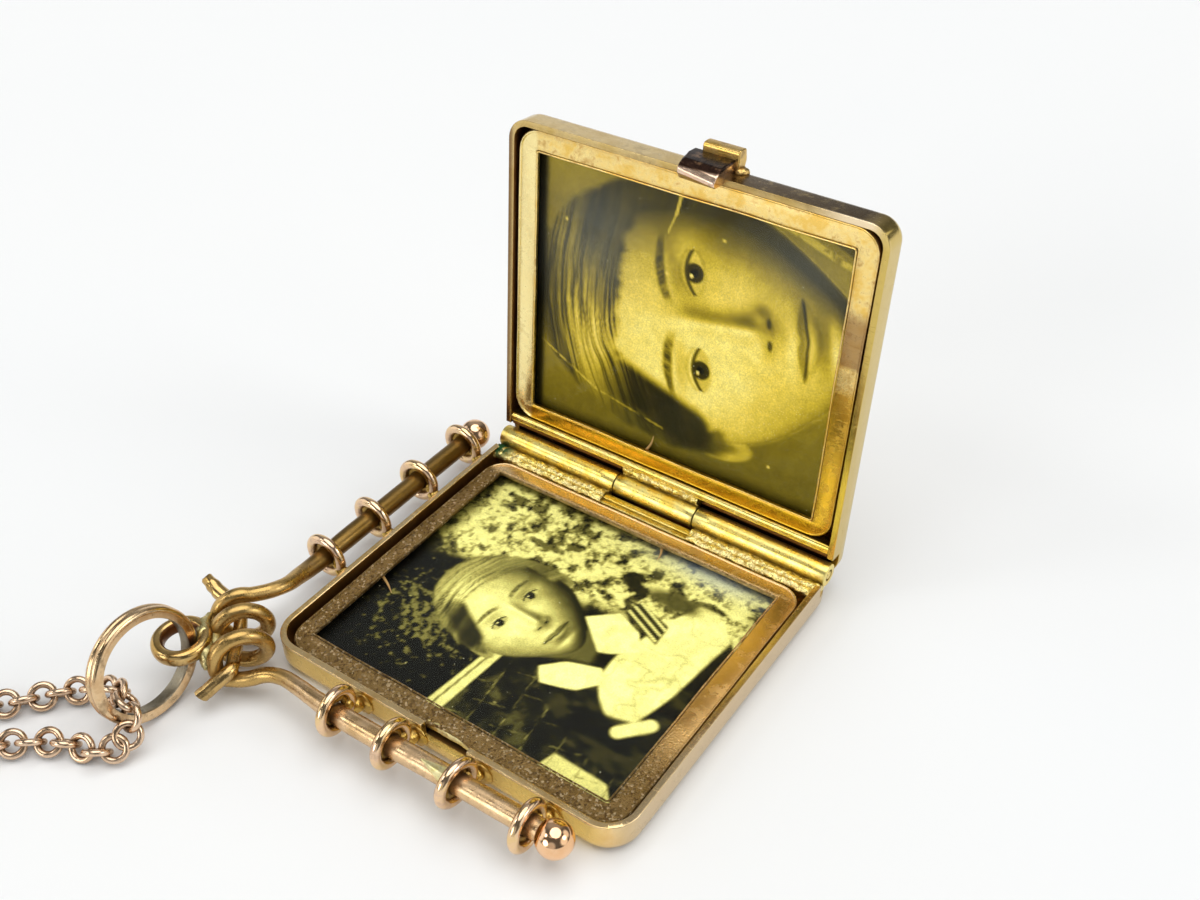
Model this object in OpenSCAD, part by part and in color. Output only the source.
// Book locket: two square leaves that open like a book, each with a framed portrait print under glass,
// side bars of wire that are wound into a coil at the tray's corner, a bail ring and a fine neck chain.
// Frame: +Z up, the tray lies on its back face at z = 0, hinge at +Y, clasp at -Y. All sizes in mm.

/* [Leaves] */
// Width of a leaf along the hinge
leaf_w = 22; // [20:0.5:25]
// Distance from the hinge axis to the outer face of the far wall
leaf_reach = 20; // [18:0.5:23]
// Depth of one leaf, from its rim to its back
leaf_depth = 2; // [1.9:0.05:2.4]
// Thickness of the sheet gold
wall = 0.35; // [0.3:0.05:0.45]
// Radius of a leaf's corners seen from above
corner_r = 1.65; // [1.2:0.05:2.2]
// Radius of the edge between a leaf's walls and its back
edge_r = 0.8; // [0.5:0.05:0.9]
// Angle that the lid stands open at rest
open_angle = 96.3; // [90:0.1:97]

/* [Hinge] */
// Radius of the hinge knuckles
knuckle_r = 0.65; // [0.55:0.05:0.7]
// Radius of the hinge pin
hinge_pin_r = 0.3; // [0.25:0.01:0.35]
// Radial running clearance between the pin and the knuckles
hinge_clearance = 0.04; // [0.02:0.01:0.08]
// Length of the lid's knuckle in the middle of the hinge
lid_knuckle_len = 5.3; // [4:0.1:8]

/* [Frames and prints] */
// Width of the frame's flat band around the window
frame_band = 1; // [0.8:0.1:1.4]
// Thickness of the glass panes
glass_thick = 0.25; // [0.2:0.05:0.3]
// Thickness of a print on its card
print_thick = 0.5; // [0.3:0.05:0.5]

/* [Side wire and rings] */
// Radius of the bars beside the tray
bar_r = 0.5; // [0.4:0.05:0.55]
// Radius of the wire in the coil
coil_wire_r = 0.38; // [0.3:0.02:0.45]
// Radius of the coil to the middle of its wire
coil_r = 1.28; // [1.2:0.02:1.35]
// Radius of the ball on each bar's end
ball_r = 0.92; // [0.8:0.02:1]
// Outer radius of the collars around the bars
collar_r = 1.35; // [1.3:0.01:1.4]
// Outer radius of the bail ring
bail_r = 3.05; // [3:0.05:3.1]

/* [Chain] */
// Outer width of the chain
chain_w = 1.4; // [1.2:0.1:1.4]
// Length of the barrel clasp at the back of the neck
clasp_len = 7; // [7:1:7]

/* [Hidden] */

$fn = 48;
overlap = 0.05;

// Hinge axis, and the outer faces of the leaves
hinge_y = 9.7;
rim_gap = 0.05;
hinge_z = leaf_depth + rim_gap;
half_w = leaf_w / 2;
far_y = hinge_y - leaf_reach;
spine_out = 0.75;
spine_y = hinge_y + spine_out;
// The spine walls stop this far from the level of the hinge axis, which lets the lid open past upright
spine_cut = 0.87;
side_cut = 0.95;
knuckle_gap = 0.05;
hinge_end = 0.05;
bore_r = hinge_pin_r + hinge_clearance;

// Bearer strips beside the hinge, by their distance from the hinge axis
tray_strip_d = [1.0, 1.3];
lid_strip_d = [1.3, 1.65];

// Picture frames, by distance from the hinge axis
frame_half_w = half_w - 0.65;
frame_near_d = 1.72;
frame_far_d = 19.3;
window_half_w = frame_half_w - frame_band;
window_near_d = 2.6;
window_far_d = 18.45;
frame_top = leaf_depth - 0.3;
frame_thick = 0.35;
skirt = 0.3;
seat_gap = 0.05;
frame_corner_r = 1.25;

// Clasp strap on the lid, and the notch for it in the tray's far wall
strap_x = [-0.3, 2.1];
strap_d = [19.6, 20.45];
strap_z = [1.35, 3.35];
thumb_x = [0.2, 2.0];
thumb_d = 21.1;
notch_x = [-0.55, 2.4];
notch_z = 1.15;

// Bars: each lies at the level of the tray's rim, this far outside the wall
bar_out = 1.6;
bar_z = leaf_depth;
left_x = -half_w - bar_out;
front_y = far_y - bar_out;
ball_y = 8.7;
ball_x = 8.6;
collar_wire_r = 0.275;
left_collars = [-4.2, -0.45, 3.5, 7.55];
front_collars = [-4.5, -0.95, 3.05, 7.15];
foot_w = 0.7;
foot_z = [1.15, 1.95];

// Coil: its axis runs level across the tray's corner, from the left bar's end to the front bar's end
coil_across = -16.15;
coil_z = 1.9;
coil_along = [-2.45, -1.25, 0.62];
coil_steps = 12;

// Eye that is soldered to the coil, and the bail ring that hangs in it
eye_at = [-13.78, -13.28, 2.55];
eye_outer_r = 1.5;
eye_inner_r = 0.98;
eye_half_h = 0.4;
bail_at = [-13.6, -15.72, 3.15];
bail_lean = 8.7;
bail_inner_r = bail_r - 0.6;
bail_half_w = 0.42;
bail_ridge_r = 0.24;

// Broken pin that crosses inside the coil: points and radii
pin_points = [[-16.0, -9.7, 2.6], [-15.4, -9.75, 2.5], [-14.7, -9.75, 2.35], [-13.7, -9.7, 2.1], [-12.6, -10.1, 1.9],
              [-11.8, -10.9, 1.85], [-10.8, -12.0, 1.85], [-10.35, -12.6, 1.8], [-10.35, -13.25, 1.65],
              [-10.75, -13.8, 1.45], [-11.35, -14.35, 1.25]];
pin_radii = [0.2, 0.3, 0.36, 0.36, 0.34, 0.34, 0.34, 0.34, 0.34, 0.34, 0.34];

// Route of the chain on the surface: from the clasp to the bail ring, through it and back round to the clasp
chain_route = [[-104, -142, 0.75], [-121, -138, 0.75], [-136, -126, 0.75], [-144, -107, 0.75], [-142, -85, 0.75],
               [-131, -64, 0.75], [-113, -47, 0.75], [-92, -36, 0.75], [-70, -30.5, 0.75], [-50, -28.5, 0.75],
               [-34, -27, 0.75], [-24.5, -24, 0.75], [-20, -20.8, 0.75], [-17.3, -17.8, 0.75], [-15.6, -16.9, 1.1],
               [-13.5, -17, 2.1], [-12.3, -17.1, 2], [-11.6, -18.1, 1.2], [-12.4, -19.4, 0.75], [-14.6, -20.1, 0.75],
               [-17.4, -22, 0.75], [-20.2, -25.5, 0.75], [-23, -34, 0.75], [-26, -51, 0.75], [-30, -72, 0.75],
               [-38, -95, 0.75], [-52, -117, 0.75], [-71, -134, 0.75], [-91, -142, 0.75]];
rings_per_span = 2;
chain_sides = 8;
clasp_r = 1.2;
clasp_x = -101;
clasp_y = -142;

// Vector helpers and the smooth curve through a list of points
function unit(v) = v / norm(v);
function span_point(a, b, c, d, t) =
    0.5 * (2 * b + (c - a) * t + (2 * a - 5 * b + 4 * c - d) * t * t + (3 * b - a - 3 * c + d) * t * t * t);
function smooth_route(p, steps) =
    [for (i = [0 : len(p) - 2], s = [0 : steps - 1])
         span_point(p[max(i - 1, 0)], p[i], p[i + 1], p[min(i + 2, len(p) - 1)], s / steps),
     p[len(p) - 1]];
function tangent(p, i) = unit(p[min(i + 1, len(p) - 1)] - p[max(i - 1, 0)]);

// Tube through the points p, with a radius for each, as one closed solid; up is never along the tube
module tube(p, radii, sides, up) {
    n = len(p);
    points = [for (i = [0 : n - 1])
                  let (t = tangent(p, i), side = unit(cross(up, t)), rise = cross(t, side))
                  for (j = [0 : sides - 1])
                      p[i] + radii[i] * (cos(360 * j / sides) * side + sin(360 * j / sides) * rise)];
    walls = [for (i = [0 : n - 2], j = [0 : sides - 1])
                 let (a = i * sides + j, b = i * sides + (j + 1) % sides)
                 each [[a, a + sides, b + sides], [a, b + sides, b]]];
    first_cap = [for (j = [0 : sides - 1]) j];
    last_cap = [for (j = [sides - 1 : -1 : 0]) (n - 1) * sides + j];
    polyhedron(points, concat([first_cap], walls, [last_cap]), convexity = 10);
}

// Leaf of sheet gold, open upwards: wall and rounded edge are drawn once, outwards from a corner's centre
module leaf_section() {
    square([corner_r - edge_r + overlap, wall]);
    translate([corner_r - wall, edge_r - overlap])
        square([wall, leaf_depth - edge_r + overlap]);
    intersection() {
        translate([corner_r - edge_r, edge_r])
            difference() {
                circle(edge_r);
                circle(edge_r - wall);
            }
        translate([corner_r - edge_r, 0])
            square(edge_r);
    }
}

module leaf_side(length) {
    rotate([90, 0, 90])
        linear_extrude(length)
            leaf_section();
}

module leaf_shell() {
    inner_x = half_w - corner_r;
    low_y = far_y + corner_r;
    high_y = spine_y - corner_r;
    translate([-inner_x - overlap, low_y - overlap, 0])
        cube([2 * (inner_x + overlap), high_y - low_y + 2 * overlap, wall]);
    for (c = [[inner_x, high_y, 0], [-inner_x, high_y, 90], [-inner_x, low_y, 180], [inner_x, low_y, 270]])
        translate([c[0], c[1], 0])
            rotate(c[2])
                rotate_extrude(angle = 90)
                    leaf_section();
    translate([-inner_x, high_y, 0])
        leaf_side(2 * inner_x);
    translate([inner_x, low_y, 0])
        rotate(180)
            leaf_side(2 * inner_x);
    translate([inner_x, high_y, 0])
        rotate(-90)
            leaf_side(high_y - low_y);
    translate([-inner_x, low_y, 0])
        rotate(90)
            leaf_side(high_y - low_y);
}

// Shell with room for the knuckles, and the bearer strip that closes the picture's side of the hinge
module hinged_shell(strip_d) {
    difference() {
        leaf_shell();
        translate([-leaf_w, hinge_y - side_cut, hinge_z - spine_cut])
            cube([2 * leaf_w, 3, 3]);
    }
    translate([-half_w + wall / 2, hinge_y - strip_d[1], wall / 2])
        cube([leaf_w - wall, strip_d[1] - strip_d[0], leaf_depth - wall / 2 - rim_gap]);
}

// Cylinder along X between two places on the hinge axis
module on_hinge(x0, x1, r) {
    translate([x0, hinge_y, hinge_z])
        rotate([0, 90, 0])
            cylinder(h = x1 - x0, r = r);
}

// Places a lid piece, drawn closed over the tray, at its open angle
module opened() {
    translate([0, hinge_y, hinge_z])
        rotate([-open_angle, 0, 0])
            translate([0, -hinge_y, -hinge_z])
                children();
}

// Turns a piece drawn in the tray upside down, as the lid has it when closed
module over_tray() {
    translate([0, 0, 2 * hinge_z])
        mirror([0, 0, 1])
            children();
}

module collar(side_turn) {
    rotate([0, 0, side_turn])
        rotate([0, 90, 0])
            rotate_extrude()
                translate([collar_r - collar_wire_r, 0])
                    circle(collar_wire_r, $fn = 24);
}

// Solder foot between a collar and the wall beside it, drawn from the wall outwards along -Y
module collar_foot() {
    translate([-foot_w / 2, -(bar_out - collar_r) - 0.3, foot_z[0]])
        cube([foot_w, bar_out - collar_r + 0.3 + wall / 2, foot_z[1] - foot_z[0]]);
}

module tray() {
    knuckle_start = lid_knuckle_len / 2 + knuckle_gap;
    knuckle_end = half_w - hinge_end;
    color([0.78, 0.58, 0.32])
        difference() {
            union() {
                hinged_shell(tray_strip_d);
                for (s = [[-knuckle_end, -knuckle_start], [knuckle_start, knuckle_end]]) {
                    on_hinge(s[0], s[1], knuckle_r);
                    translate([s[0] + 0.1, hinge_y - tray_strip_d[0] - 0.1, hinge_z - 0.75])
                        cube([s[1] - s[0] - 0.2, 0.7, 0.55]);
                }
                for (y = left_collars) {
                    translate([left_x, y, bar_z])
                        collar(90);
                    translate([-half_w, y, 0])
                        rotate(-90)
                            collar_foot();
                }
                for (x = front_collars) {
                    translate([x, front_y, bar_z])
                        collar(0);
                    translate([x, far_y, 0])
                        collar_foot();
                }
            }
            on_hinge(-leaf_w, leaf_w, bore_r);
            translate([notch_x[0], far_y - 0.2, notch_z])
                cube([notch_x[1] - notch_x[0], wall + 0.4, leaf_depth]);
        }
}

module lid() {
    knuckle_half = lid_knuckle_len / 2;
    strap_w = strap_x[1] - strap_x[0];
    color([0.8, 0.6, 0.34])
        opened()
            difference() {
                union() {
                    over_tray()
                        hinged_shell(lid_strip_d);
                    on_hinge(-knuckle_half, knuckle_half, knuckle_r);
                    translate([0.2 - knuckle_half, hinge_y - lid_strip_d[0] - 0.1, hinge_z + 0.15])
                        cube([lid_knuckle_len - 0.4, 0.95, 0.45]);
                    lid_clasp(strap_w);
                }
                on_hinge(-leaf_w, leaf_w, bore_r);
            }
}

// Strap that drops over the tray's notched wall, with a lip above it for the thumb
module lid_clasp(strap_w) {
    outer_y = hinge_y - strap_d[1];
    inner_y = hinge_y - strap_d[0];
    thumb_y = hinge_y - thumb_d;
    translate([strap_x[0], 0, 0])
        rotate([90, 0, 90])
            linear_extrude(strap_w)
                polygon([[inner_y, strap_z[0]], [outer_y + 0.35, strap_z[0]], [outer_y, strap_z[0] + 0.5],
                         [outer_y, strap_z[1]], [inner_y, strap_z[1]]]);
    translate([thumb_x[0], 0, 0])
        rotate([90, 0, 90])
            linear_extrude(thumb_x[1] - thumb_x[0])
                polygon([[inner_y, strap_z[1] - 0.1], [outer_y, strap_z[1] - 0.1], [thumb_y, strap_z[1] + 0.25],
                         [thumb_y, strap_z[1] + 0.5], [outer_y, strap_z[1] + 0.45], [inner_y, strap_z[1] + 0.3]]);
}

// Rectangle from distances off the hinge axis, with square or round corners
module leaf_rect(half, near_d, far_d, r, thick) {
    low = hinge_y - far_d;
    depth = far_d - near_d;
    if (r > 0) {
        translate([-half + r, low, 0])
            cube([2 * (half - r), depth, thick]);
        translate([-half, low + r, 0])
            cube([2 * half, depth - 2 * r, thick]);
        for (x = [r - half, half - r], y = [low + r, low + depth - r])
            translate([x, y, 0])
                cylinder(h = thick, r = r);
    } else {
        translate([-half, low, 0])
            cube([2 * half, depth, thick]);
    }
}

// Frame around a print: a flat band with the window, and a skirt that stands on the leaf's back
module picture_frame(clasp_dent) {
    skirt_foot = wall + seat_gap;
    difference() {
        translate([0, 0, skirt_foot])
            leaf_rect(frame_half_w, frame_near_d, frame_far_d, frame_corner_r, frame_top - skirt_foot);
        translate([0, 0, skirt_foot - 1])
            leaf_rect(frame_half_w - skirt, frame_near_d + skirt, frame_far_d - skirt, 0,
                      frame_top - frame_thick - skirt_foot + 1);
        leaf_rect(window_half_w, window_near_d, window_far_d, 0, leaf_depth);
        if (clasp_dent)
            translate([(notch_x[0] + notch_x[1]) / 2, hinge_y - frame_far_d - 2.7, 0])
                cylinder(h = leaf_depth, r = 3);
    }
}

module pane(low, thick) {
    room = skirt + seat_gap;
    translate([0, 0, low])
        leaf_rect(frame_half_w - room, frame_near_d + room, frame_far_d - room, 0, thick);
}

glass_low = frame_top - frame_thick - seat_gap - glass_thick;
print_low = glass_low - seat_gap - print_thick;

module tray_frame() { color([0.72, 0.56, 0.45]) picture_frame(true); }
module tray_glass() { color([0.85, 0.9, 0.9, 0.3]) pane(glass_low, glass_thick); }
module tray_print() { color([0.45, 0.38, 0.28]) pane(print_low, print_thick); }
module lid_frame() { color([0.85, 0.7, 0.5]) opened() over_tray() picture_frame(false); }
module lid_glass() { color([0.85, 0.9, 0.9, 0.3]) opened() over_tray() pane(glass_low, glass_thick); }
module lid_print() { color([0.4, 0.34, 0.22]) opened() over_tray() pane(print_low, print_thick); }

module hinge_pin() {
    color([0.8, 0.62, 0.3])
        on_hinge(hinge_end - half_w, half_w - hinge_end, hinge_pin_r);
}

// Places round a ball on a bar's end, from its pole to the bar, as distance along the axis and radius
function ball_profile(steps) =
    [for (i = [0 : steps])
         let (a = 8 + (180 - 8 - asin(bar_r / ball_r)) * i / steps)
             [ball_r * cos(a), ball_r * sin(a)]];

// Coil in its own directions: across the corner, along the axis, and up
function coil_point(across, along, z) = [(across + along) / sqrt(2), (across - along) / sqrt(2), z];
function coil_shift(turn) =
    turn < 1 ? coil_along[0] + turn * (coil_along[1] - coil_along[0])
             : coil_along[1] + (turn - 1) * (coil_along[2] - coil_along[1]);
function coil_turn(turn) =
    coil_point(coil_across - coil_r * sin(360 * turn), coil_shift(turn), coil_z + coil_r * cos(360 * turn));

module side_wire() {
    ball = ball_profile(7);
    front_z = 2.05;
    left_ball = [for (b = ball) [left_x, ball_y + b[0], bar_z, b[1]]];
    left_bar = [[left_x, 1, bar_z, bar_r], [left_x, -5, bar_z, bar_r],
                [left_x + 0.1, -6.3, 2.2, bar_r - 0.03], [left_x + 0.38, -7.7, 2.7, bar_r - 0.08]];
    turns = [for (i = [-1 : 2.5 * coil_steps + 1])
                 let (p = coil_turn(i / coil_steps)) [p[0], p[1], p[2], coil_wire_r]];
    front_bar = [[-9.6, -11.75, 1.1, coil_wire_r], [-8.6, -11.75, 1.45, coil_wire_r + 0.05],
                 [-7.4, -11.9, 1.75, bar_r - 0.05], [-6, -12.0, 1.85, bar_r], [1, front_y + 0.02, 1.95, bar_r]];
    front_ball = [for (i = [len(ball) - 1 : -1 : 0]) [ball_x + ball[i][0], front_y + 0.1, front_z, ball[i][1]]];
    stations = concat(left_ball, left_bar, turns, front_bar, front_ball);
    color([0.72, 0.58, 0.3]) {
        tube([for (s = stations) [s[0], s[1], s[2]]], [for (s = stations) s[3]], 12, [1, -1, 0.001]);
        translate(eye_at)
            rotate_extrude()
                translate([eye_inner_r, -eye_half_h])
                    square([eye_outer_r - eye_inner_r, 2 * eye_half_h]);
    }
}

module cross_pin() {
    color([0.74, 0.6, 0.32])
        tube(pin_points, pin_radii, 12, [0, 0, 1]);
}

module bail_ring() {
    color([0.8, 0.58, 0.38])
        translate(bail_at)
            rotate([0, 90 - bail_lean, 0])
                rotate_extrude()
                    union() {
                        translate([bail_inner_r, -bail_half_w])
                            square([bail_r - bail_inner_r - bail_ridge_r, 2 * bail_half_w]);
                        for (s = [-1, 1])
                            translate([bail_r - bail_ridge_r, s * (bail_half_w - bail_ridge_r)])
                                circle(bail_ridge_r, $fn = 24);
                    }
}

module chain() {
    points = concat([[clasp_x, clasp_y, chain_route[0][2]]], smooth_route(chain_route, rings_per_span),
                    [[clasp_x + clasp_len, clasp_y, chain_route[0][2]]]);
    color([0.82, 0.6, 0.42])
        tube(points, [for (p = points) chain_w / 2], chain_sides, [0, 0, 1]);
}

module chain_clasp() {
    color([0.8, 0.58, 0.38])
        translate([clasp_x, clasp_y, clasp_r])
            rotate([0, 90, 0])
                cylinder(h = clasp_len, r = clasp_r);
}

tray();
tray_frame();
tray_glass();
tray_print();
lid();
lid_frame();
lid_glass();
lid_print();
hinge_pin();
side_wire();
cross_pin();
bail_ring();
chain();
chain_clasp();
